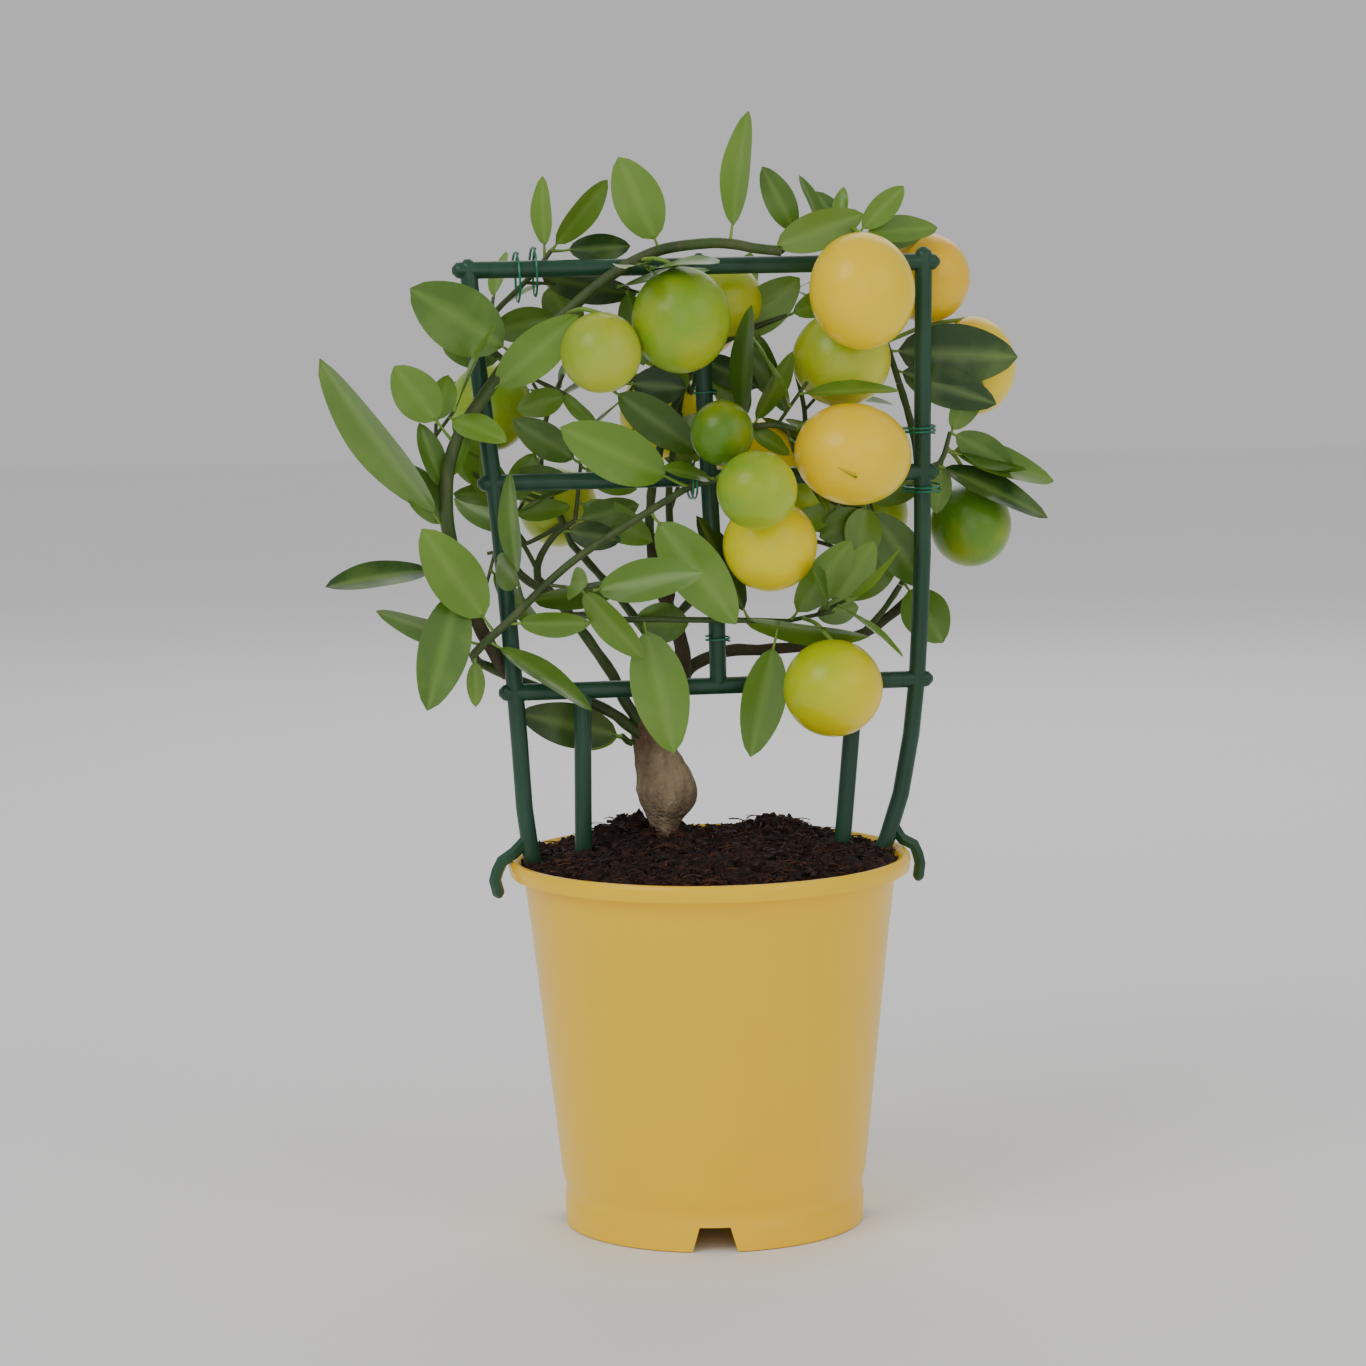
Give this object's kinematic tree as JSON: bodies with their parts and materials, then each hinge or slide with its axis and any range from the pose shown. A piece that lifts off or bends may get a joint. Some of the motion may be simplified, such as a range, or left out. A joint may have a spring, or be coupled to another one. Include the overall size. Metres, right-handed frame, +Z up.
{
  "type": "potted limequat tree on a trellis",
  "caption": "Small fruiting citrus tree trained on a ladder trellis in a round grower's pot; stands on its foot ring.",
  "frame": {"origin": "on the pot's axis at ground level, the middle of the box's underside", "axes": "+Z up; the trellis stands across X, turned nine degrees about Z; -Y is the side shown in the picture"},
  "size_m": [0.3608, 0.2005, 0.5485],
  "materials": {
    "pot_plastic": "satin moulded yellow",
    "potting_mix": "moist bark and coco fibre",
    "bark": "rough beige bark",
    "shoots": "green bark",
    "foliage": "glossy leaves, waxy yellow and green fruit",
    "trellis_plastic": "satin dark green",
    "tie_plastic": "plastic-coated wire"
  },
  "bodies": {
    "root": {"arch_left_foliage": "foliage", "arch_top_foliage": "foliage", "back_bough": "shoots", "back_centre_foliage": "foliage", "back_left_bough": "shoots", "back_left_foliage": "foliage", "back_right_bough": "shoots", "back_right_foliage": "foliage", "centre_branch": "shoots", "centre_foliage": "foliage", "centre_stem": "shoots", "cross_foliage": "foliage", "cross_shoot": "shoots", "diagonal_foliage": "foliage", "left_bough": "shoots", "left_leg": "trellis_plastic", "left_post": "trellis_plastic", "left_post_shoot": "shoots", "left_riser": "shoots", "low_foliage": "foliage", "low_left_bough": "shoots", "lower_bar": "trellis_plastic", "lower_right_foliage": "foliage", "middle_bar": "trellis_plastic", "middle_left_foliage": "foliage", "middle_post_lower": "trellis_plastic", "middle_post_upper": "trellis_plastic", "pot": "pot_plastic", "potting_mix": "potting_mix", "right_bough": "shoots", "right_foliage": "foliage", "right_leg": "trellis_plastic", "right_outer_branch": "shoots", "right_post": "trellis_plastic", "right_riser": "shoots", "right_spur": "shoots", "tie_diagonal": "tie_plastic", "tie_middle_lower": "tie_plastic", "tie_middle_upper": "tie_plastic", "tie_right_lower": "tie_plastic", "tie_right_upper": "tie_plastic", "tie_top_left_inner": "tie_plastic", "tie_top_left_outer": "tie_plastic", "top_bar": "trellis_plastic", "trunk": "bark", "upper_centre_foliage": "foliage", "upper_left_foliage": "foliage", "upper_right_foliage": "foliage", "upper_stem": "shoots"}
  },
  "joints": []
}
